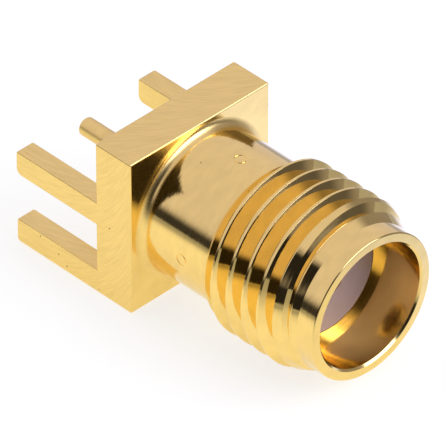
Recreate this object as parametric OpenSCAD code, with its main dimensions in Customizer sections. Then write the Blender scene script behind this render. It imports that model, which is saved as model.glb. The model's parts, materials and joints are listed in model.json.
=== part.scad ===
// Straight coaxial jack for the edge of a circuit board.
// The centre line runs along Y: the threaded end faces -Y and the board legs +Y.
// The origin is on the centre line, in the plane of the flange's back face, which is
// where the edge of the board stops.

/* [Flange] */
// Width of the flange, from leg side to leg side
flange_w = 6.35; // [6:0.05:8]
// Height of the flange
flange_h = 6.2; // [6.1:0.05:8]
// Thickness of the flange
flange_t = 1.65; // [1:0.05:3]
// Small bevel that breaks every edge of the flange and the legs
edge_break = 0.06; // [0.02:0.01:0.12]

/* [Board legs] */
// Width of each leg
leg_w = 0.75; // [0.5:0.05:1.2]
// Height of each leg
leg_h = 0.95; // [0.6:0.05:1.2]
// Length of the legs behind the flange
leg_len = 3.82; // [2:0.01:6]
// Gap between the upper and the lower legs, which takes the board
board_gap = 1.87; // [1.2:0.01:2.6]
// Rounding of the upper legs' lower corner, at the tip
toe_r = 0.25; // [0.1:0.05:0.4]

/* [Barrel] */
// Diameter of the plain neck between the flange and the thread
neck_d = 5.4; // [5:0.05:5.45]
// Length of the plain neck
neck_len = 3; // [2:0.05:5]
// Radius of the fillet between the flange and the neck
neck_fillet_r = 0.3; // [0.1:0.05:0.35]
// Length of the tapered lead at the front of the thread
lead_len = 1; // [0.4:0.05:1.5]
// Diameter of the plain lip in front of the thread
lip_d = 5.4; // [5:0.05:5.45]
// Length of the plain lip
lip_len = 0.73; // [0.3:0.01:1.5]
// Bevel round the outside of the mating face
lip_break = 0.05; // [0.02:0.01:0.1]

/* [Thread] */
// Outside diameter of the thread
thread_d = 6.35; // [6.2:0.05:7]
// Turns of the thread in 25.4 mm
thread_tpi = 36; // [32:1:44]
// Length of the thread at its full diameter
thread_len = 2.75; // [1.5:0.05:6]
// Angle round the centre line at which the groove starts
thread_clock = 335; // [0:5:355]

/* [Stake marks] */
// Number of punch marks round the neck
stake_count = 4; // [2:1:6]
// Diameter of each punch mark
stake_d = 0.45; // [0.3:0.05:0.8]
// Depth of each punch mark
stake_depth = 0.05; // [0.02:0.01:0.15]
// Distance of the punch marks from the front of the flange
stake_from_flange = 1.88; // [1:0.02:2.6]

/* [Mating bore] */
// Diameter of the bore that takes the plug's shell
bore_d = 4.6; // [4.3:0.05:4.8]
// Depth of the bore, from the mating face to the reference plane
bore_depth = 1.9; // [1.5:0.05:2.5]
// Bevel round the mouth of the bore
bore_break = 0.07; // [0.03:0.01:0.1]

/* [Insulator] */
// Diameter of the hole in the body that holds the insulator
insulator_d = 4; // [3.6:0.05:4.2]
// Diameter of the smaller hole through the seat at the back of the flange
seat_d = 3.4; // [2.6:0.05:3.5]
// Thickness of the seat that the insulator stops against
seat_t = 0.5; // [0.3:0.05:0.9]

/* [Centre contact] */
// Outside diameter of the contact's socket
socket_d = 1.27; // [1.2:0.01:1.5]
// Length of the socket, back to the shoulder that seats in the insulator
socket_len = 5; // [3.5:0.1:5.5]
// How far the socket's mouth sits behind the reference plane
socket_recess = 0.05; // [0.02:0.01:0.15]
// Diameter of the hole that takes the plug's centre pin
pin_hole_d = 0.94; // [0.9:0.01:1]
// Depth of that hole
pin_hole_depth = 3; // [2.6:0.1:3.4]
// Bevel at the mouth of the socket, inside and out
socket_break = 0.06; // [0.02:0.01:0.08]
// Number of spring fingers that the slots cut the socket into
finger_count = 4; // [2:2:4]
// Width of the slots between the fingers
slot_w = 0.15; // [0.1:0.01:0.16]
// Length of the slots
slot_len = 2.2; // [1.5:0.1:2.5]
// Diameter of the contact where it passes through the back of the insulator
waist_d = 1.02; // [0.9:0.01:1.1]
// Diameter of the solder tail
tail_d = 0.68; // [0.5:0.01:0.76]
// Length of the solder tail behind the flange
tail_len = 3.82; // [2:0.01:6]
// Bevel round the tip of the solder tail
tail_break = 0.08; // [0.04:0.01:0.15]

/* [Fits] */
// Clearance between the body, the insulator and the contact, on the radius
slip = 0.01; // [0.005:0.005:0.03]

/* [Hidden] */
gold = [0.87, 0.7, 0.38];
ptfe = [0.93, 0.93, 0.91];
$fn = 96;

// How far a cutter runs past the surface that it cuts
past = 1;

// Radii that the revolved outlines use
neck_r = neck_d / 2;
lip_r = lip_d / 2;
thread_r = thread_d / 2;
bore_r = bore_d / 2;
insulator_r = insulator_d / 2;
seat_r = seat_d / 2;
socket_r = socket_d / 2;
pin_hole_r = pin_hole_d / 2;
waist_r = waist_d / 2;
tail_r = tail_d / 2;

// Stations along the centre line, counted from the back of the flange to the mating face
neck_end = flange_t + neck_len;
thread_start = neck_end + thread_r - neck_r;
thread_end = thread_start + thread_len;
lip_start = thread_end + lead_len;
mating_face = lip_start + lip_len;
reference_plane = mating_face - bore_depth;
socket_mouth = reference_plane - socket_recess;
socket_seat = socket_mouth - socket_len;

// Inch thread form with 60 degree flanks: an eighth of the pitch is left flat at the crest
pitch = 25.4 / thread_tpi;
flank_angle = 30;
groove_root_w = pitch / 6;
groove_depth = (pitch * 7 / 8 - groove_root_w) / 2 / tan(flank_angle);
groove_proud = 0.05;
groove_steps = 32;

// Height of the flange's foot and of the legs' lower faces
foot_z = -flange_h / 2;
upper_leg_z = foot_z + leg_h + board_gap;

// Turns a shape built along +Z so that it lies along the centre line, front end towards -Y
module on_centre_line() {
  rotate([90, 0, 0]) children();
}

// Rectangle between two corners with each of its own corners cut off
function cut_corners(lo, hi, cut) = [
  [lo[0] + cut, lo[1]],
  [hi[0] - cut, lo[1]],
  [hi[0], lo[1] + cut],
  [hi[0], hi[1] - cut],
  [hi[0] - cut, hi[1]],
  [lo[0] + cut, hi[1]],
  [lo[0], hi[1] - cut],
  [lo[0], lo[1] + cut]
];

// Block between two corners with all twelve edges broken, as three crossed prisms
module eased_block(lo, hi) {
  size = hi - lo;
  intersection() {
    translate([0, 0, lo[2]])
      linear_extrude(size[2])
        polygon(cut_corners([lo[0], lo[1]], [hi[0], hi[1]], edge_break));
    translate([lo[0], 0, 0])
      rotate([90, 0, 90])
        linear_extrude(size[0])
          polygon(cut_corners([lo[1], lo[2]], [hi[1], hi[2]], edge_break));
    translate([0, hi[1], 0])
      rotate([90, 0, 0])
        linear_extrude(size[1])
          polygon(cut_corners([lo[0], lo[2]], [hi[0], hi[2]], edge_break));
  }
}

// One leg on the +X side, rooted in the middle of the flange's thickness
module leg(z) {
  eased_block(
    [flange_w / 2 - leg_w, -flange_t / 2, z],
    [flange_w / 2, leg_len, z + leg_h]
  );
}

// Upper leg, with its lower corner rounded at the tip so that a board slides in
module upper_leg() {
  difference() {
    leg(upper_leg_z);
    translate([flange_w / 2 - leg_w - past, leg_len - toe_r, upper_leg_z + toe_r])
      rotate([90, 0, 90])
        linear_extrude(leg_w + 2 * past)
          difference() {
            translate([0, -toe_r - past]) square([toe_r + past, toe_r + past]);
            circle(r = toe_r);
          }
  }
}

// Flange and its four legs, milled from the one bar
module flange_and_legs() {
  eased_block([-flange_w / 2, -flange_t, foot_z], [flange_w / 2, 0, -foot_z]);
  for (side = [0, 1]) {
    mirror([side, 0, 0]) {
      upper_leg();
      leg(foot_z);
    }
  }
}

// Outside of the barrel before the thread is cut
module barrel_blank() {
  fillet_out = neck_r + neck_fillet_r;
  fillet_end = flange_t + neck_fillet_r;
  rotate_extrude()
    difference() {
      polygon([
        [0, flange_t / 2],
        [fillet_out, flange_t / 2],
        [fillet_out, fillet_end],
        [neck_r, fillet_end],
        [neck_r, neck_end],
        [thread_r, thread_start],
        [thread_r, thread_end],
        [lip_r, lip_start],
        [lip_r, mating_face - lip_break],
        [lip_r - lip_break, mating_face],
        [0, mating_face]
      ]);
      translate([fillet_out, fillet_end]) circle(r = neck_fillet_r);
    }
}

// Helical groove between the turns of the right-hand thread, swept as one solid.
// It starts a turn behind the thread and ends a turn in front of it, clear of both.
module thread_groove() {
  root_r = thread_r - groove_depth;
  proud_r = thread_r + groove_proud;
  root_half = groove_root_w / 2;
  proud_half = root_half + (proud_r - root_r) * tan(flank_angle);
  section = [
    [root_r, -root_half],
    [proud_r, -proud_half],
    [proud_r, proud_half],
    [root_r, root_half]
  ];
  first_z = neck_end - pitch;
  count = ceil((lip_start + pitch - first_z) / pitch * groove_steps);
  corners = len(section);
  points = [
    for (step = [0:count])
      let (turn = thread_clock + step * 360 / groove_steps)
      for (corner = section)
        [corner[0] * cos(turn), corner[0] * sin(turn), first_z + step * pitch / groove_steps + corner[1]]
  ];
  walls = [
    for (step = [0:count - 1])
      for (k = [0:corners - 1])
        let (a = step * corners + k, b = step * corners + (k + 1) % corners)
        each [[a, b, b + corners], [a, b + corners, a + corners]]
  ];
  last = count * corners;
  polyhedron(points, concat([[3, 2, 1, 0]], walls, [[last, last + 1, last + 2, last + 3]]));
}

// Stepped hole through the body: seat, insulator, mating bore and its bevelled mouth
module through_bore() {
  rotate_extrude()
    polygon([
      [0, -past],
      [seat_r, -past],
      [seat_r, seat_t],
      [insulator_r, seat_t],
      [insulator_r, reference_plane],
      [bore_r, reference_plane],
      [bore_r, mating_face - bore_break],
      [bore_r + bore_break, mating_face],
      [bore_r + bore_break, mating_face + past],
      [0, mating_face + past]
    ]);
}

// Ring of flat-bottomed punch marks that lock the insulator in
module stake_marks() {
  for (i = [0:stake_count - 1])
    rotate([0, 0, 90 + i * 360 / stake_count])
      translate([neck_r - stake_depth, 0, flange_t + stake_from_flange])
        rotate([0, 90, 0])
          cylinder(d = stake_d, h = past, $fn = 32);
}

// Flange, legs and threaded barrel: one machined and plated piece
module body() {
  color(gold)
    difference() {
      union() {
        flange_and_legs();
        on_centre_line() barrel_blank();
      }
      on_centre_line() {
        through_bore();
        thread_groove();
        stake_marks();
      }
    }
}

// Stepped sleeve that fills the body from the back face to the reference plane
module insulator() {
  color(ptfe)
    on_centre_line()
      rotate_extrude()
        polygon([
          [waist_r + slip, 0],
          [seat_r - slip, 0],
          [seat_r - slip, seat_t],
          [insulator_r - slip, seat_t],
          [insulator_r - slip, reference_plane],
          [socket_r + slip, reference_plane],
          [socket_r + slip, socket_seat],
          [waist_r + slip, socket_seat]
        ]);
}

// Turned outline of the contact, from the tip of the tail to the mouth of the socket
module contact_blank() {
  rotate_extrude()
    polygon([
      [0, -tail_len],
      [tail_r - tail_break, -tail_len],
      [tail_r, tail_break - tail_len],
      [tail_r, 0],
      [waist_r, 0],
      [waist_r, socket_seat],
      [socket_r, socket_seat],
      [socket_r, socket_mouth - socket_break],
      [socket_r - socket_break, socket_mouth],
      [pin_hole_r + socket_break, socket_mouth],
      [pin_hole_r, socket_mouth - socket_break],
      [pin_hole_r, socket_mouth - pin_hole_depth],
      [0, socket_mouth - pin_hole_depth]
    ]);
}

// Centre contact: slotted socket in front, solder tail behind
module centre_contact() {
  color(gold)
    on_centre_line()
      difference() {
        contact_blank();
        for (i = [0:finger_count / 2 - 1])
          rotate([0, 0, 45 + i * 360 / finger_count])
            translate([-socket_d, -slot_w / 2, socket_mouth - slot_len])
              cube([2 * socket_d, slot_w, slot_len + past]);
      }
}

body();
insulator();
centre_contact();
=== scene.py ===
"""Gold-plated coaxial edge jack: fine meshes and finishes round its packed solids, and a stage."""
import json
import math
from types import SimpleNamespace

import bmesh
import bpy
from bpy.props import FloatProperty, FloatVectorProperty, IntProperty, PointerProperty
from bpy.types import Operator, Panel, PropertyGroup
from mathutils import Matrix, Vector


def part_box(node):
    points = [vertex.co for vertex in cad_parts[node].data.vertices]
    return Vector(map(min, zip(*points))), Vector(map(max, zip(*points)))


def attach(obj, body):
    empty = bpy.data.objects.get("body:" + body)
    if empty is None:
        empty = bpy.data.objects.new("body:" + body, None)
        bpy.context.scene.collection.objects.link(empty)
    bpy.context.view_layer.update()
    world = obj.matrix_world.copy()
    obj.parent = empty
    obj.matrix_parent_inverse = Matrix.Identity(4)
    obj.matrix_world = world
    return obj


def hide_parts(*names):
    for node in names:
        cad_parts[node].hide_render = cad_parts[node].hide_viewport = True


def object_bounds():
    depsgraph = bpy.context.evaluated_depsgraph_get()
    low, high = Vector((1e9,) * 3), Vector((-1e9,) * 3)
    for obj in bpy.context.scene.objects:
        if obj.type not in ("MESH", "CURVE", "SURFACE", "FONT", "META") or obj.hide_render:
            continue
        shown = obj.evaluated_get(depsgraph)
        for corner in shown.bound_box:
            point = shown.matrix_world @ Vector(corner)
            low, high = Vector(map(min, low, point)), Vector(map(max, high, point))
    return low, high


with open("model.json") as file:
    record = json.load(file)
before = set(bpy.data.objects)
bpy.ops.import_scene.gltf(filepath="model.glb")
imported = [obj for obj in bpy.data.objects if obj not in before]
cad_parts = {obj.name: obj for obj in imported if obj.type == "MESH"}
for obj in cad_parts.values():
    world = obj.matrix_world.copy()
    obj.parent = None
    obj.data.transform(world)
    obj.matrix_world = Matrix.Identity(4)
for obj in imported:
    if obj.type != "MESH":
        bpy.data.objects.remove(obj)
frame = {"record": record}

bl_info = {
    "name": "Coaxial edge jack",
    "version": (1, 0, 0),
    "blender": (4, 5, 0),
    "location": "View3D > Sidebar > Jack",
    "description": "Builds a gold-plated threaded coaxial jack for the edge of a circuit board",
    "category": "Add Mesh",
}

# The meshes are modelled in millimetres, where bmesh's fixed tolerances are small, and scaled once
MM = 0.001
CAD_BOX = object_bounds()
MOUNTS = {mount["name"]: mount["dims"] for mount in frame["record"]["mounts"]}
BODY_LOW, BODY_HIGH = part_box("body")

# Steps round a full turn, the steepest step of a curve that still shades as smooth, the least turn
# of a square edge, and the most between two parts of one flat face
TURN_STEPS = 192
SMOOTH_ANGLE = math.radians(24)
SHARP_ANGLE = math.radians(60)
FLAT_ANGLE = math.radians(1)
# In millimetres: how far a cutting tool runs past the surface that it cuts, how near to a plane
# counts as on it, and how near two points are the same
PAST = 1.0
NEAR = 1e-3
SAME = 1e-5


# ---------------------------------------------------------------- settings

def length(name, description, millimetres):
    """A length that the sidebar shows in the scene's units."""
    return FloatProperty(
        name=name, description=description, default=millimetres * MM, min=0, precision=6,
        unit="LENGTH"
    )


def colour(name, description, value):
    """A plain colour swatch."""
    return FloatVectorProperty(
        name=name, description=description, default=value, min=0, max=1, size=3, subtype="COLOR"
    )


class JackFlange(PropertyGroup):
    """Flange and board legs"""
    flange_w: length("Flange width", "Across the flange, from leg side to leg side", 6.35)
    flange_h: length("Flange height", "From the flange's foot to its top", 6.2)
    flange_t: length("Flange thickness", "From the board edge to the front of the flange", 1.65)
    edge_break: length("Edge break", "Rounding of the milled edges", 0.06)
    leg_w: length("Leg width", "Width of each board leg", 0.75)
    leg_h: length("Leg height", "Height of each board leg", 0.95)
    leg_len: length("Leg length", "How far the legs reach behind the flange", BODY_HIGH[1] / MM)
    board_gap: length("Board gap", "Height of the gap that takes the board", 1.87)
    toe_r: length("Toe radius", "Rounding under the tips of the upper legs", 0.25)
    tip_r: length("Tip radius", "Rounding of the other edges across the tips of the legs", 0.12)


class JackBarrel(PropertyGroup):
    """Neck, thread, lip and bore"""
    neck_d: length("Neck diameter", "Plain neck behind the thread", 5.4)
    neck_len: length("Neck length", "From the flange to the back of the thread", 3.0)
    neck_fillet_r: length("Neck fillet", "Radius between the flange and the neck", 0.3)
    thread_d: length("Thread diameter", "Across the crests of the thread", 2 * BODY_HIGH[2] / MM)
    thread_len: length("Thread length", "Thread at its full diameter", 2.75)
    lead_len: length("Lead length", "Taper in front of the thread", 1.0)
    lip_d: length("Lip diameter", "Plain lip round the mating face", 5.4)
    lip_break: length("Lip break", "Rounding outside the mating face", 0.05)
    face_at: length("Mating face", "From the board edge to the mating face", -BODY_LOW[1] / MM)
    bore_d: length("Bore diameter", "Bore that takes the plug", 2 * MOUNTS["mating_bore"]["r_mm"])
    bore_depth: length("Bore depth", "From the mating face to the reference plane", 1.9)
    bore_break: length("Bore break", "Bevel round the mouth of the bore", 0.07)
    pitch: length("Pitch", "From one turn of the thread to the next", 25.4 / 36)
    crest_r: length("Crest rounding", "Rounding on both sides of each crest", 0.012)
    root_w: length("Root width", "Width of each root, its rounding included", 0.074)
    root_r: length("Root rounding", "Rounding on both sides of each root", 0.045)
    flank_angle: FloatProperty(
        name="Flank angle", description="Between a flank and a plane square to the centre line",
        default=math.radians(30), subtype="ANGLE"
    )
    thread_clock: FloatProperty(
        name="Thread clock", description="Angle round the centre line at which the groove starts",
        default=math.radians(335), subtype="ANGLE"
    )
    stake_d: length("Stake diameter", "Punch marks round the neck", 0.45)
    stake_depth: length("Stake depth", "Depth of the ring round each mark", 0.02)
    stake_line: length("Stake line", "Width of the ring round each mark", 0.035)
    stake_at: length("Stake place", "From the front of the flange to the punch marks", 1.88)
    stake_count: IntProperty(name="Stakes", description="Number of punch marks", default=4, min=0)


class JackInside(PropertyGroup):
    """Insulator and centre contact"""
    insulator_d: length("Insulator diameter", "Hole that holds the insulator", 4.0)
    seat_d: length("Seat diameter", "Smaller hole at the back of the flange", 3.4)
    seat_t: length("Seat thickness", "Seat that the insulator stops against", 0.5)
    slip: length("Clearance", "Between the pieces, on the radius", 0.01)
    socket_d: length("Socket diameter", "Outside of the centre contact's socket", 1.27)
    socket_len: length("Socket length", "From the socket's mouth to its shoulder", 5.0)
    socket_recess: length("Socket recess", "From the reference plane to the socket's mouth", 0.05)
    socket_break: length("Socket break", "Rounding of the socket's mouth", 0.06)
    pin_hole_d: length("Pin hole", "Hole for the plug's pin", 2 * MOUNTS["centre_socket"]["r_mm"])
    pin_hole_depth: length("Pin hole depth", "Depth of that hole", 3.0)
    slot_w: length("Slot width", "Slots between the spring fingers", 0.15)
    slot_len: length("Slot length", "Length of the slots", 2.2)
    finger_count: IntProperty(
        name="Fingers", description="Spring fingers of the socket", default=4, min=2
    )
    waist_d: length("Waist diameter", "Contact inside the back of the insulator", 1.02)
    tail_d: length("Tail diameter", "Solder tail", 2 * MOUNTS["pin_tail"]["r_mm"])
    tail_len: length("Tail length", "Solder tail behind the flange", 3.82)
    tail_break: length("Tail break", "Bevel round the tip of the tail", 0.08)


class JackFinish(PropertyGroup):
    """Colours of the pieces"""
    gold: colour("Gold plate", "Colour of the plating, straight on", (0.95, 0.69, 0.235))
    # The insulator's colour holds painted shade: it is darkened and warmed to stand for the shade
    # and the gold light bounced onto it inside the bore
    ptfe: colour("Insulator", "Colour of the insulator", (0.53, 0.385, 0.295))


class JackStage(PropertyGroup):
    """Camera, floor and light"""
    azimuth: FloatProperty(
        name="Azimuth", description="Camera's turn round the jack, from the front towards +X",
        default=math.radians(-44.401), subtype="ANGLE"
    )
    elevation: FloatProperty(
        name="Elevation", description="Camera's height over the horizon",
        default=math.radians(38.529), subtype="ANGLE"
    )
    distance: length("Distance", "From the camera to the point that it looks at", 304.989)
    lens: FloatProperty(
        name="Lens", description="Focal length on a 36 mm sensor, in millimetres", default=753.24
    )
    floor_r: length("Floor radius", "Half the floor's width", 40.0)
    top_light: FloatProperty(
        name="Overhead light", description="Brightness of the light overhead", default=0.77
    )
    floor_glow: FloatProperty(
        name="Floor glow", description="What brings the floor up to white behind the jack",
        default=0.74
    )


# ---------------------------------------------------------------- modelling

def in_mm(group):
    """The group's lengths in millimetres, and its other values as they are."""
    values = {}
    for prop in group.bl_rna.properties:
        if prop.identifier not in {"rna_type", "name"}:
            value = getattr(group, prop.identifier)
            values[prop.identifier] = value / MM if prop.unit == "LENGTH" else value
    return values


def sizes():
    """Every size of the jack in millimetres, with the stations that follow from them."""
    scene = bpy.context.scene
    s = SimpleNamespace(
        **in_mm(scene.jack_flange), **in_mm(scene.jack_barrel), **in_mm(scene.jack_inside)
    )
    s.neck_r, s.thread_r = s.neck_d / 2, s.thread_d / 2
    s.lip_r, s.bore_r = s.lip_d / 2, s.bore_d / 2
    s.neck_end = s.flange_t + s.neck_len
    s.thread_start = s.neck_end + s.thread_r - s.neck_r
    s.thread_end = s.thread_start + s.thread_len
    s.lip_start = s.thread_end + s.lead_len
    s.reference = s.face_at - s.bore_depth
    s.socket_mouth = s.reference - s.socket_recess
    s.socket_seat = s.socket_mouth - s.socket_len
    s.foot = -s.flange_h / 2
    s.upper_leg = s.foot + s.leg_h + s.board_gap
    return s


def place(radius, station, turn=0.0):
    """Point at a radius and a turn round the centre line, a station in front of the board edge."""
    return Vector((radius * math.cos(turn), -station, radius * math.sin(turn)))


def arc(centre, radius, start, end, steps=5):
    """Points on an arc of an outline, from a start to an end angle in degrees."""
    turns = [math.radians(start + (end - start) * k / steps) for k in range(steps + 1)]
    return [(centre[0] + radius * math.cos(t), centre[1] + radius * math.sin(t)) for t in turns]


def tidy_faces(bm):
    """Merges doubled points and turns every face outwards."""
    bmesh.ops.remove_doubles(bm, verts=bm.verts, dist=SAME)
    bmesh.ops.recalc_face_normals(bm, faces=bm.faces)


def draw_loop(bm, points):
    """Closed wire through the points."""
    corners = [bm.verts.new(point) for point in points]
    wires = [bm.edges.new(pair) for pair in zip(corners, corners[1:] + corners[:1])]
    return corners + wires


def revolve(outline):
    """Solid turned from a closed outline of (radius, station) points."""
    bm = bmesh.new()
    profile = draw_loop(bm, [place(radius, station) for radius, station in outline])
    bmesh.ops.spin(
        bm, geom=profile, cent=(0, 0, 0), axis=(0, -1, 0), angle=math.tau, steps=TURN_STEPS,
        use_merge=True
    )
    tidy_faces(bm)
    bmesh.ops.delete(bm, geom=[edge for edge in bm.edges if not edge.link_faces], context="EDGES")
    return bm


def new_object(name, bm):
    """Object that holds a finished bmesh, which is freed."""
    mesh = bpy.data.meshes.new(name)
    bm.to_mesh(mesh)
    bm.free()
    piece = bpy.data.objects.new(name, mesh)
    bpy.context.scene.collection.objects.link(piece)
    return piece


def apply_modifiers(piece):
    """Turns what the modifiers make into the piece's own mesh."""
    evaluated = piece.evaluated_get(bpy.context.evaluated_depsgraph_get())
    piece.data = bpy.data.meshes.new_from_object(evaluated)
    piece.modifiers.clear()
    if not piece.data.polygons:
        raise RuntimeError(f"{piece.name}: nothing is left of the mesh")


def combine(piece, bm, operation):
    """Adds a solid to the piece or cuts it away."""
    tool = new_object("tool", bm)
    step = piece.modifiers.new("combine", "BOOLEAN")
    step.object = tool
    step.operation = operation
    step.solver = "MANIFOLD"
    apply_modifiers(piece)
    bpy.data.objects.remove(tool)


def shade(piece):
    """Smooth shading that keeps flat faces flat and breaks only at real edges."""
    piece.data.shade_smooth()
    piece.data.set_sharp_from_angle(angle=SMOOTH_ANGLE)
    step = piece.modifiers.new("weigh", "WEIGHTED_NORMAL")
    step.mode = "FACE_AREA"
    step.weight = 100
    step.keep_sharp = True
    apply_modifiers(piece)


def finish_piece(piece, node, materials):
    """Brings a piece to metres, dresses it and lets it stand for its CAD node."""
    shade(piece)
    piece.data.transform(Matrix.Scale(MM, 4))
    piece.data.materials.clear()
    for material in materials:
        piece.data.materials.append(material)
    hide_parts(node)
    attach(piece, "root")


# ---------------------------------------------------------------- body

def flange_with_legs(s):
    """Milled flange with its four legs drawn out of the back face, all edges rounded."""
    bm = bmesh.new()
    size = Vector((s.flange_w, s.flange_t, s.flange_h))
    centre = Vector((0, -s.flange_t / 2, 0))
    bmesh.ops.create_cube(
        bm, size=1, matrix=Matrix.Translation(centre) @ Matrix.Diagonal(size.to_4d())
    )
    inner_x = s.flange_w / 2 - s.leg_w
    cuts = [((x, 0, 0), (1, 0, 0)) for x in (-inner_x, inner_x)]
    cuts += [((0, 0, z), (0, 0, 1)) for z in (s.foot + s.leg_h, s.upper_leg, s.upper_leg + s.leg_h)]
    for point, normal in cuts:
        everything = bm.verts[:] + bm.edges[:] + bm.faces[:]
        bmesh.ops.bisect_plane(bm, geom=everything, dist=SAME, plane_co=point, plane_no=normal)

    def carries_leg(face):
        """Whether a leg grows out of this part of the back face."""
        middle = face.calc_center_median()
        low = middle.z < s.foot + s.leg_h
        high = s.upper_leg < middle.z < s.upper_leg + s.leg_h
        return face.normal.y > 0.9 and abs(middle.x) > inner_x and (low or high)

    roots = [face for face in bm.faces if carries_leg(face)]
    drawn = bmesh.ops.extrude_face_region(bm, geom=roots)["geom"]
    bmesh.ops.delete(bm, geom=roots, context="FACES")
    ends = [item for item in drawn if isinstance(item, bmesh.types.BMVert)]
    bmesh.ops.translate(bm, verts=ends, vec=(0, s.leg_len, 0))
    bmesh.ops.dissolve_limit(bm, angle_limit=FLAT_ANGLE, verts=bm.verts, edges=bm.edges)

    def across_tip(edge):
        """Whether an edge runs from side to side across the tip of a leg."""
        first, second = (vert.co for vert in edge.verts)
        return min(first.y, second.y) > s.leg_len - NEAR and abs(first.z - second.z) < NEAR

    def bevel(edges, width, segments):
        """Rounds the edges."""
        bmesh.ops.bevel(
            bm, geom=edges, offset=width, offset_type="OFFSET", segments=segments, profile=0.5,
            affect="EDGES", material=-1, clamp_overlap=True
        )

    tips = [edge for edge in bm.edges if across_tip(edge)]
    toes = [edge for edge in tips if abs(edge.verts[0].co.z - s.upper_leg) < NEAR]
    bevel([edge for edge in tips if edge not in toes], s.tip_r, 4)
    bevel(toes, s.toe_r, 8)
    bm.normal_update()
    outer = [edge for edge in bm.edges if edge.is_convex and edge.calc_face_angle(0) > SHARP_ANGLE]
    bevel(outer, s.edge_break, 4)
    tidy_faces(bm)
    return bm


def barrel_outline(s):
    """Outside of the barrel, rooted in the flange, with the fillet run a hair into its front."""
    fillet_out = s.neck_r + s.neck_fillet_r
    fillet_end = s.flange_t + s.neck_fillet_r
    graze = 4.0
    run_in = 0.02
    slope = math.radians(graze)
    fillet = arc((fillet_out, fillet_end), s.neck_fillet_r, 270 - graze, 180, steps=12)
    foot = (fillet[0][0] + run_in * math.cos(slope), fillet[0][1] - run_in * math.sin(slope))
    lip_corner = (s.lip_r - s.lip_break, s.face_at - s.lip_break)
    return [
        (0, s.flange_t / 2),
        (foot[0], s.flange_t / 2),
        foot,
        *fillet,
        (s.neck_r, s.neck_end),
        (s.thread_r, s.thread_start),
        (s.thread_r, s.thread_end),
        (s.lip_r, s.lip_start),
        *arc(lip_corner, s.lip_break, 0, 90),
        (0, s.face_at),
    ]


def groove_section(s):
    """Half of the thread's groove, from the middle of the root outwards, as (radius, offset)."""
    flank_out = 90 - math.degrees(s.flank_angle)
    root_half = s.root_w / 2
    # An eighth of the pitch is left flat at the crest
    crest_half = s.pitch * 7 / 16
    depth = (crest_half - root_half) / math.tan(s.flank_angle)
    # Rounding between the root and the flank, then between the flank and the crest
    tangent = math.tan(math.radians(flank_out / 2))
    root_centre = (s.thread_r - depth + s.root_r, root_half - s.root_r * tangent)
    root = arc(root_centre, s.root_r, 180, 180 - flank_out, steps=4)
    # The crest's rounding stops shy of the flat and runs out at that angle, to cut it cleanly
    shy = math.radians(20)
    run_out, proud = 0.012, 0.1
    crest_centre = (s.thread_r - s.crest_r * math.cos(shy), crest_half + s.crest_r * tangent)
    crest = arc(crest_centre, s.crest_r, -flank_out, -math.degrees(shy), steps=3)
    lift = (crest[-1][0] + run_out * math.sin(shy), crest[-1][1] + run_out * math.cos(shy))
    return root + crest + [lift, (s.thread_r + proud, lift[1])]


def thread_groove(s):
    """Helical cutter for the right-hand thread, from a turn behind it to a turn in front of it."""
    steps_a_turn = 144
    half = groove_section(s)
    section = [(radius, -offset) for radius, offset in reversed(half)] + half
    start = s.neck_end - s.pitch
    count = math.ceil((s.lip_start + s.pitch - start) / s.pitch * steps_a_turn)
    bm = bmesh.new()
    points = [place(radius, start + offset, s.thread_clock) for radius, offset in section]
    cap = bm.faces.new([bm.verts.new(point) for point in points])
    bmesh.ops.spin(
        bm, geom=[cap, *cap.edges, *cap.verts], cent=(0, 0, 0), axis=(0, -1, 0),
        dvec=(0, -s.pitch / steps_a_turn, 0), angle=math.tau / steps_a_turn * count, steps=count
    )
    tidy_faces(bm)
    return bm


def through_bore(s):
    """Stepped hole: seat, insulator, mating bore and its bevelled mouth."""
    seat_r, insulator_r = s.seat_d / 2, s.insulator_d / 2
    return revolve([
        (0, -PAST),
        (seat_r, -PAST),
        (seat_r, s.seat_t),
        (insulator_r, s.seat_t),
        (insulator_r, s.reference),
        (s.bore_r, s.reference),
        (s.bore_r, s.face_at - s.bore_break),
        (s.bore_r + s.bore_break, s.face_at),
        (s.bore_r + s.bore_break + PAST, s.face_at + PAST),
        (0, s.face_at + PAST),
    ])


def stake_mark(s, turn):
    """Ring-shaped punch, standing on the neck at a turn round the centre line."""
    outer = s.stake_d / 2
    inner = outer - s.stake_line
    bm = revolve([(inner, 0), (inner, -PAST), (outer, -PAST), (outer, 0)])
    foot = place(s.neck_r - s.stake_depth, s.flange_t + s.stake_at, turn)
    outwards = place(1, 0, turn).to_track_quat("Y", "Z").to_matrix().to_4x4()
    bmesh.ops.transform(bm, matrix=Matrix.Translation(foot) @ outwards, verts=bm.verts)
    return bm


BODY_FINISHES = ("milled", "turned", "threaded", "bored", "filleted")


def finish_at(s, radius, station):
    """Finish of the body's surface at a radius and a station."""
    in_bore = radius < s.bore_r + s.bore_break and s.flange_t < station < s.face_at - NEAR
    in_holder = radius < s.insulator_d / 2 and NEAR < station < s.reference
    if in_bore or in_holder:
        return "bored"
    if s.neck_end < station < s.lip_start:
        return "threaded"
    if s.flange_t < station < s.flange_t + s.neck_fillet_r and radius > s.neck_r:
        return "filleted"
    return "turned" if station > s.flange_t - NEAR else "milled"


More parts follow.
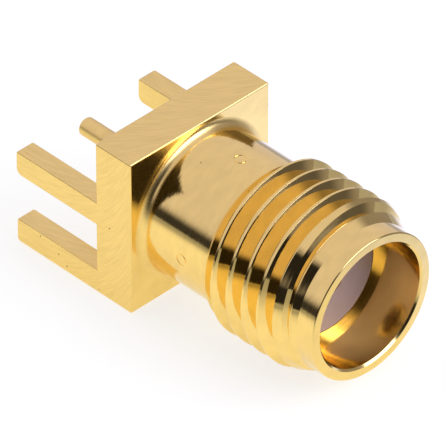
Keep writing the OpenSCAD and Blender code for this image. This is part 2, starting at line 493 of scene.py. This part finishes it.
class JACK_OT_body(Operator):
    """Builds the flange, legs and threaded barrel as one piece"""
    bl_idname = "jack.body"
    bl_label = "Body"

    def execute(self, context):
        s = sizes()
        barrel = revolve(barrel_outline(s))
        piece = new_object("jack_body", barrel)
        combine(piece, thread_groove(s), "DIFFERENCE")
        combine(piece, flange_with_legs(s), "UNION")
        combine(piece, through_bore(s), "DIFFERENCE")
        for k in range(s.stake_count):
            combine(piece, stake_mark(s, math.pi / 2 + k * math.tau / s.stake_count), "DIFFERENCE")
        centres = [face.center.copy() for face in piece.data.polygons]
        finishes = [finish_at(s, math.hypot(centre.x, centre.z), -centre.y) for centre in centres]
        plates = [gold_plate(name) for name in BODY_FINISHES]
        finish_piece(piece, "body", plates)
        indices = [BODY_FINISHES.index(finish) for finish in finishes]
        piece.data.polygons.foreach_set("material_index", indices)
        return {"FINISHED"}


# ---------------------------------------------------------------- inside

class JACK_OT_insulator(Operator):
    """Builds the stepped insulator"""
    bl_idname = "jack.insulator"
    bl_label = "Insulator"

    def execute(self, context):
        s = sizes()
        waist_r, socket_r = s.waist_d / 2 + s.slip, s.socket_d / 2 + s.slip
        seat_r, outer_r = s.seat_d / 2 - s.slip, s.insulator_d / 2 - s.slip
        ease = 0.03
        outline = [
            (waist_r, 0),
            (seat_r, 0),
            (seat_r, s.seat_t),
            (outer_r, s.seat_t),
            *arc((outer_r - ease, s.reference - ease), ease, 0, 90),
            *arc((socket_r + ease, s.reference - ease), ease, 90, 180),
            (socket_r, s.socket_seat),
            (waist_r, s.socket_seat),
        ]
        piece = new_object("jack_insulator", revolve(outline))
        finish_piece(piece, "insulator", [ptfe()])
        return {"FINISHED"}


class JACK_OT_centre_contact(Operator):
    """Builds the centre contact: slotted socket in front, solder tail behind"""
    bl_idname = "jack.centre_contact"
    bl_label = "Centre contact"

    def execute(self, context):
        s = sizes()
        socket_r, hole_r = s.socket_d / 2, s.pin_hole_d / 2
        waist_r, tail_r = s.waist_d / 2, s.tail_d / 2
        mouth = s.socket_mouth
        ease = s.socket_break
        outline = [
            (0, -s.tail_len),
            *arc((tail_r - s.tail_break, s.tail_break - s.tail_len), s.tail_break, -90, 0),
            (tail_r, 0),
            (waist_r, 0),
            (waist_r, s.socket_seat),
            (socket_r, s.socket_seat),
            *arc((socket_r - ease, mouth - ease), ease, 0, 90),
            *arc((hole_r + ease, mouth - ease), ease, 90, 180),
            (hole_r, mouth - s.pin_hole_depth),
            (0, mouth - s.pin_hole_depth),
        ]
        piece = new_object("jack_centre_contact", revolve(outline))
        for k in range(s.finger_count // 2):
            turn = math.pi / 4 + k * math.tau / s.finger_count
            combine(piece, self.finger_slot(s, turn), "DIFFERENCE")
        finish_piece(piece, "centre_contact", [gold_plate("contact")])
        return {"FINISHED"}

    @staticmethod
    def finger_slot(s, turn):
        """Saw cut right across the socket, from its mouth back."""
        bm = bmesh.new()
        size = Vector((2 * s.socket_d, s.slot_len + PAST, s.slot_w))
        middle = Vector((0, (s.slot_len - PAST) / 2 - s.socket_mouth, 0))
        turned = Matrix.Rotation(-turn, 4, "Y")
        bmesh.ops.create_cube(
            bm, size=1, matrix=turned @ Matrix.Translation(middle) @ Matrix.Diagonal(size.to_4d())
        )
        return bm


# ---------------------------------------------------------------- finishes

def add_node(tree, kind, inputs=None, **settings):
    """Node with its settings made and each named input set or linked."""
    node = tree.nodes.new(kind)
    for name, value in settings.items():
        setattr(node, name, value)
    for name, value in (inputs or {}).items():
        if isinstance(value, bpy.types.NodeSocket):
            tree.links.new(value, node.inputs[name])
        else:
            node.inputs[name].default_value = value
    return node


def ramp(tree, value, low, high, to_low=0.0, to_high=1.0):
    """Smooth step from one level to another."""
    node = add_node(
        tree, "ShaderNodeMapRange",
        {"Value": value, "From Min": low, "From Max": high, "To Min": to_low, "To Max": to_high},
        interpolation_type="SMOOTHSTEP"
    )
    return node.outputs["Result"]


def math_node(tree, operation, *values):
    """Result of one sum on sockets or numbers."""
    node = add_node(tree, "ShaderNodeMath", dict(enumerate(values)), operation=operation)
    return node.outputs["Value"]


def mix_colour(tree, factor, low, high):
    """Blend from one colour to another, each a socket or plain RGB."""
    ends = [end if isinstance(end, bpy.types.NodeSocket) else (*end, 1) for end in (low, high)]
    node = add_node(
        tree, "ShaderNodeMix", {"Factor": factor, "A": ends[0], "B": ends[1]}, data_type="RGBA"
    )
    return node.outputs["Result"]


def new_material(name):
    """Empty node material with its output, and the object's own coordinates in millimetres."""
    material = bpy.data.materials.new(name)
    material.use_nodes = True
    tree = material.node_tree
    tree.nodes.clear()
    tree.nodes.new("ShaderNodeOutputMaterial")
    place_of = add_node(tree, "ShaderNodeTexCoord").outputs["Object"]
    return material, tree, place_of


def stretched_noise(tree, place_of, grain):
    """Noise whose features have the given sizes in millimetres along X, Y and Z."""
    scale = [1 / (MM * size) for size in grain]
    stretched = add_node(tree, "ShaderNodeMapping", {"Vector": place_of, "Scale": scale})
    noise = add_node(
        tree, "ShaderNodeTexNoise",
        {"Vector": stretched.outputs["Vector"], "Scale": 1.0, "Detail": 2.0}
    )
    return noise.outputs["Fac"]


def spread(tree, value, low, high):
    """Maps the middle of a noise onto a range."""
    node = add_node(
        tree, "ShaderNodeMapRange",
        {"Value": value, "From Min": 0.3, "From Max": 0.7, "To Min": low, "To Max": high}
    )
    return node.outputs["Result"]


# In millimetres: how far bump reaches, and for the arcs on milled faces the cutter's radius and
# how far behind the board edge its middle passed
BUMP_REACH = 0.02
CUTTER_R, CUTTER_AT = 5.2, 3.25
# Pits in the plating: size of the cells in millimetres, the random number above which a cell has a
# pit, the pit's soft edge as shares of a cell, and its brightness
PIT_CELL, PIT_FROM, PIT_EDGE, PIT_DARK = 0.45, 0.96, (0.04, 0.09), 0.12
# The lightest part of a stain, against the plain gold
STAIN_LIGHT = 1.03
# For each gold finish: fine grain in millimetres and its depth, broad stain in millimetres and its
# darkest, and roughness from and to
GOLD_FINISHES = {
    "milled": {
        "grain": (1.6, 1.6, 0.07), "depth": 0.05, "stain": (0.8, 0.8, 0.12), "dark": 0.92,
        "rough": (0.20, 0.28)
    },
    "turned": {
        "grain": (0.3, 0.05, 0.3), "depth": 0.10, "stain": (0.6, 0.3, 0.6), "dark": 0.94,
        "rough": (0.07, 0.13)
    },
    "threaded": {
        "grain": (0.5, 0.08, 0.5), "depth": 0.06, "stain": (0.6, 0.3, 0.6), "dark": 0.94,
        "rough": (0.04, 0.09)
    },
    "bored": {
        "grain": (6.0, 0.1, 6.0), "depth": 0.08, "stain": (0.8, 0.5, 0.8), "dark": 0.92,
        "rough": (0.12, 0.18)
    },
    "contact": {
        "grain": (6.0, 0.06, 6.0), "depth": 0.08, "stain": (0.6, 0.3, 0.6), "dark": 0.94,
        "rough": (0.36, 0.44)
    },
    "filleted": {
        "grain": (6.0, 0.05, 6.0), "depth": 0.10, "stain": (0.6, 0.3, 0.6), "dark": 0.94,
        "rough": (0.26, 0.32)
    },
}


def cutter_sweep(tree, place_of):
    """Coordinates whose Z steps from one arc of the milling cutter to the next on milled faces."""
    axes = add_node(tree, "ShaderNodeSeparateXYZ", {"Vector": place_of}).outputs
    across = math_node(tree, "SUBTRACT", axes["Y"], CUTTER_AT * MM)
    square = math_node(tree, "MULTIPLY", across, across)
    arc_height = math_node(tree, "SQRT", math_node(tree, "SUBTRACT", (CUTTER_R * MM) ** 2, square))
    fed = math_node(tree, "ADD", math_node(tree, "ADD", axes["X"], axes["Z"]), arc_height)
    along = math_node(tree, "SUBTRACT", axes["X"], axes["Z"])
    swept = add_node(tree, "ShaderNodeCombineXYZ", {"X": along, "Y": axes["Y"], "Z": fed})
    return swept.outputs["Vector"]


def pits(tree, place_of):
    """Few tiny dark pits: small spots in a random few of the cells of a lattice."""
    cells = add_node(
        tree, "ShaderNodeTexVoronoi", {"Vector": place_of, "Scale": 1 / (PIT_CELL * MM)}
    ).outputs
    drawn = add_node(tree, "ShaderNodeSeparateColor", {"Color": cells["Color"]}).outputs["Red"]
    chosen = math_node(tree, "GREATER_THAN", drawn, PIT_FROM)
    return math_node(tree, "MULTIPLY", ramp(tree, cells["Distance"], *PIT_EDGE, 1, 0), chosen)


def bump(tree, height, strength):
    """Normal of a surface with fine relief."""
    relief = {"Height": height, "Strength": strength, "Distance": BUMP_REACH * MM}
    return add_node(tree, "ShaderNodeBump", relief).outputs["Normal"]


def gold_plate(name):
    """Bright gold plating over one kind of machined surface."""
    material_name = f"gold_{name}"
    if material_name in bpy.data.materials:
        return bpy.data.materials[material_name]
    look = GOLD_FINISHES[name]
    gold = Vector(bpy.context.scene.jack_finish.gold)
    material, tree, place_of = new_material(material_name)
    marks_of = cutter_sweep(tree, place_of) if name == "milled" else place_of
    grain = stretched_noise(tree, marks_of, look["grain"])
    stain = stretched_noise(tree, marks_of, look["stain"])
    tint = mix_colour(tree, spread(tree, stain, 0, 1), gold * look["dark"], gold * STAIN_LIGHT)
    plate = add_node(
        tree, "ShaderNodeBsdfPrincipled",
        {
            "Base Color": mix_colour(tree, pits(tree, place_of), tint, gold * PIT_DARK),
            "Metallic": 1.0,
            "Roughness": spread(tree, grain, *look["rough"]),
            "Normal": bump(tree, grain, look["depth"]),
        }
    )
    tree.links.new(plate.outputs["BSDF"], tree.nodes["Material Output"].inputs["Surface"])
    return material


# For the insulator: how close together, how wavy and how deep the tool's rings are, the size of
# the grain in millimetres, and roughness from and to
RING_CLOSE, RING_WAVY, RING_DEPTH = 6.0, 0.6, 0.15
PTFE_GRAIN, PTFE_ROUGH = (0.4, 0.4, 0.4), (0.38, 0.5)


def ptfe():
    """Turned insulator: waxy, with faint rings from the tool, in a colour darkened and warmed with
    painted shade and painted gold bounce light from the bore.
    """
    material, tree, place_of = new_material("ptfe_turned_painted_shade")
    in_millimetres = add_node(
        tree, "ShaderNodeMapping", {"Vector": place_of, "Scale": (1 / MM,) * 3}
    ).outputs["Vector"]
    rings = add_node(
        tree, "ShaderNodeTexWave",
        {"Vector": in_millimetres, "Scale": RING_CLOSE, "Distortion": RING_WAVY, "Detail": 2.0},
        wave_type="RINGS", rings_direction="Y"
    )
    grain = stretched_noise(tree, place_of, PTFE_GRAIN)
    resin = add_node(
        tree, "ShaderNodeBsdfPrincipled",
        {
            # Base colour with painted shade and painted gold bounce light from the bore
            "Base Color": (*bpy.context.scene.jack_finish.ptfe, 1),
            "Roughness": spread(tree, grain, *PTFE_ROUGH),
            "Normal": bump(tree, rings.outputs["Fac"], RING_DEPTH),
        }
    )
    tree.links.new(resin.outputs["BSDF"], tree.nodes["Material Output"].inputs["Surface"])
    return material


# ---------------------------------------------------------------- stage

def direction(azimuth, elevation):
    """Unit vector towards a place in the studio, from angles in degrees."""
    a, e = math.radians(azimuth), math.radians(elevation)
    return Vector((math.sin(a) * math.cos(e), -math.cos(a) * math.cos(e), math.sin(e)))


# Areas of the studio that the metal mirrors: azimuths, elevations and softness in degrees, and
# brightness. Then the colour of the light overhead.
STUDIO_AREAS = (
    # Grey wall on the right
    ((46, 118), (-20, 42), 10, 0.30),
    # Dark gap between the table and the lights: right, front and left
    ((10, 58), (-20, 13), 5, 0.12),
    ((-122, 10), (-20, 15), 5, 0.02),
    ((-138, -116), (-20, 7), 5, 0.04),
    # Dark opening round the camera
    ((-76, -8), (-20, 55), 6, 0.02),
)
STUDIO_TINT = (1.0, 0.95, 1.2)
# The lamp in front: azimuth and elevation in degrees, distance, width and height in metres,
# brightness and colour
LAMP_TOWARDS, LAMP_AT, LAMP_W, LAMP_H = (21, 33.5), 0.3, 0.26, 0.19
LAMP_RADIANCE, LAMP_TINT = 3.0, (0.9, 0.96, 1.4)
# The floor that the metal mirrors: grey of the paper; the painted light that the metal sees in it,
# warm on the left and a painted bluish pool of light on the right, with the X at which each ends in
# millimetres; and the point round which painted shade darkens it, over which distances in
# millimetres and by how much
PAPER = (0.36, 0.37, 0.31)
PAINTED_LIGHT_LEFT, PAINTED_POOL_RIGHT = (1.0, 0.96, 0.86), (1.10, 1.20, 1.95)
PAINTED_POOL_TURN = (1.5, 6.0)
PAINTED_SHADE_CENTRE, PAINTED_SHADE_REACH, PAINTED_SHADE_DEPTH = (-3, -1, 0), (10, 24), 0.85
# The point that the camera looks at, in millimetres
LOOK_AT = (-0.315, -2.9975, -0.054)


def studio_world(scene, stage):
    """Even light overhead, darker areas near the horizon, and plain white behind everything."""
    world = bpy.data.worlds.new("studio")
    scene.world = world
    world.use_nodes = True
    tree = world.node_tree
    tree.nodes.clear()
    out = tree.nodes.new("ShaderNodeOutputWorld")
    towards = add_node(tree, "ShaderNodeTexCoord").outputs["Generated"]
    axes = add_node(tree, "ShaderNodeSeparateXYZ", {"Vector": towards}).outputs
    radians = math_node(tree, "ARCTAN2", axes["X"], math_node(tree, "MULTIPLY", axes["Y"], -1))
    azimuth = math_node(tree, "DEGREES", radians)
    elevation = math_node(tree, "DEGREES", math_node(tree, "ARCSINE", axes["Z"]))
    level = stage.top_light
    for (left, right), (low, high), soft, brightness in STUDIO_AREAS:
        sides = (
            ramp(tree, azimuth, left - soft, left + soft),
            ramp(tree, azimuth, right - soft, right + soft, 1, 0),
            ramp(tree, elevation, low - soft, low + soft),
            ramp(tree, elevation, high - soft, high + soft, 1, 0),
        )
        inside = sides[0]
        for side in sides[1:]:
            inside = math_node(tree, "MULTIPLY", inside, side)
        area = {"Factor": inside, "A": level, "B": brightness}
        level = add_node(tree, "ShaderNodeMix", area, data_type="FLOAT").outputs["Result"]
    studio = add_node(tree, "ShaderNodeBackground", {"Color": (*STUDIO_TINT, 1), "Strength": level})
    paper = add_node(tree, "ShaderNodeBackground", {"Color": (1, 1, 1, 1), "Strength": 1.0})
    seen = add_node(tree, "ShaderNodeLightPath").outputs["Is Camera Ray"]
    mixed = add_node(
        tree, "ShaderNodeMixShader", {0: seen, 1: studio.outputs[0], 2: paper.outputs[0]}
    )
    tree.links.new(mixed.outputs[0], out.inputs["Surface"])


def floor_paper(stage):
    """Lit white paper that keeps the shadow; in the metal it shows painted light, with a cooler,
    brighter painted pool on the right and painted shade far off.
    """
    material, tree, place_of = new_material("floor_paper")
    path = add_node(tree, "ShaderNodeLightPath").outputs
    across = add_node(tree, "ShaderNodeSeparateXYZ", {"Vector": place_of}).outputs["X"]
    near = [MM * c for c in PAINTED_SHADE_CENTRE]
    reach = add_node(
        tree, "ShaderNodeVectorMath", {0: place_of, 1: near}, operation="DISTANCE"
    ).outputs["Value"]
    # Painted light in the mirrored floor: a bluish painted pool towards the right, and painted
    # shade far from the jack
    turn = ramp(tree, across, *(MM * x for x in PAINTED_POOL_TURN))
    painted_shade_far = ramp(tree, reach, *(MM * r for r in PAINTED_SHADE_REACH), 0, PAINTED_SHADE_DEPTH)
    painted_pool = mix_colour(tree, painted_shade_far, mix_colour(tree, turn, PAINTED_LIGHT_LEFT, PAINTED_POOL_RIGHT), (0, 0, 0))
    painted_mirror_colour = mix_colour(tree, path["Is Glossy Ray"], (1, 1, 1), painted_pool)
    seen = math_node(tree, "MAXIMUM", path["Is Camera Ray"], path["Is Glossy Ray"])
    strength = math_node(tree, "MULTIPLY", seen, stage.floor_glow)
    glow = add_node(tree, "ShaderNodeEmission", {"Color": painted_mirror_colour, "Strength": strength})
    paper = add_node(tree, "ShaderNodeBsdfDiffuse", {"Color": (*PAPER, 1)})
    both = add_node(tree, "ShaderNodeAddShader", {0: paper.outputs[0], 1: glow.outputs[0]})
    tree.links.new(both.outputs[0], tree.nodes["Material Output"].inputs["Surface"])
    return material


def front_lamp(scene):
    """Rectangular soft lamp that faces the jack, as bright as stated when seen straight on."""
    towards = direction(*LAMP_TOWARDS)
    lamp = bpy.data.lights.new("front_soft_box", "AREA")
    lamp.shape = "RECTANGLE"
    lamp.size = LAMP_W
    lamp.size_y = LAMP_H
    lamp.energy = LAMP_RADIANCE * math.pi * LAMP_W * LAMP_H
    lamp.color = LAMP_TINT
    holder = bpy.data.objects.new("front_soft_box", lamp)
    scene.collection.objects.link(holder)
    holder.location = towards * LAMP_AT
    holder.rotation_euler = towards.to_track_quat("Z", "Y").to_euler()
    holder.visible_camera = False


def long_lens(scene, stage):
    """Camera that looks down on the jack from the front left."""
    eye = bpy.data.cameras.new("camera")
    eye.sensor_width = 36.0
    eye.lens = stage.lens
    camera = bpy.data.objects.new("camera", eye)
    scene.collection.objects.link(camera)
    back = direction(math.degrees(stage.azimuth), math.degrees(stage.elevation))
    camera.location = Vector(LOOK_AT) * MM + back * stage.distance
    camera.rotation_euler = back.to_track_quat("Z", "Y").to_euler()
    scene.camera = camera


class JACK_OT_stage(Operator):
    """Sets up the camera, the floor and the studio light"""
    bl_idname = "jack.stage"
    bl_label = "Stage"

    def execute(self, context):
        scene = context.scene
        stage = scene.jack_stage
        scene.view_settings.view_transform = "Standard"
        bm = bmesh.new()
        bmesh.ops.create_circle(bm, cap_ends=True, segments=96, radius=stage.floor_r)
        bmesh.ops.translate(bm, verts=bm.verts, vec=(0, 0, CAD_BOX[0][2]))
        floor = new_object("floor", bm)
        floor.data.materials.append(floor_paper(stage))
        studio_world(scene, stage)
        front_lamp(scene)
        long_lens(scene, stage)
        return {"FINISHED"}


# ---------------------------------------------------------------- add-on

class JACK_PT_sidebar(Panel):
    """Lists the jack's pieces and sizes"""
    bl_idname = "JACK_PT_sidebar"
    bl_label = "Coaxial edge jack"
    bl_space_type = "VIEW_3D"
    bl_region_type = "UI"
    bl_category = "Jack"

    def draw(self, context):
        layout = self.layout
        for operator in OPERATORS:
            layout.operator(operator.bl_idname)
        for attribute, group in GROUPS.items():
            box = layout.box()
            box.label(text=group.__doc__)
            settings = getattr(context.scene, attribute)
            for name in group.__annotations__:
                box.prop(settings, name)


GROUPS = {
    "jack_flange": JackFlange,
    "jack_barrel": JackBarrel,
    "jack_inside": JackInside,
    "jack_finish": JackFinish,
    "jack_stage": JackStage,
}
OPERATORS = (JACK_OT_body, JACK_OT_insulator, JACK_OT_centre_contact, JACK_OT_stage)
CLASSES = (*GROUPS.values(), *OPERATORS, JACK_PT_sidebar)


def register():
    for cls in CLASSES:
        bpy.utils.register_class(cls)
    for attribute, group in GROUPS.items():
        setattr(bpy.types.Scene, attribute, PointerProperty(type=group))


def unregister():
    for attribute in GROUPS:
        delattr(bpy.types.Scene, attribute)
    for cls in reversed(CLASSES):
        bpy.utils.unregister_class(cls)


def main():
    register()
    bpy.ops.jack.body()
    bpy.ops.jack.insulator()
    bpy.ops.jack.centre_contact()
    bpy.ops.jack.stage()


if __name__ == "__main__":
    main()
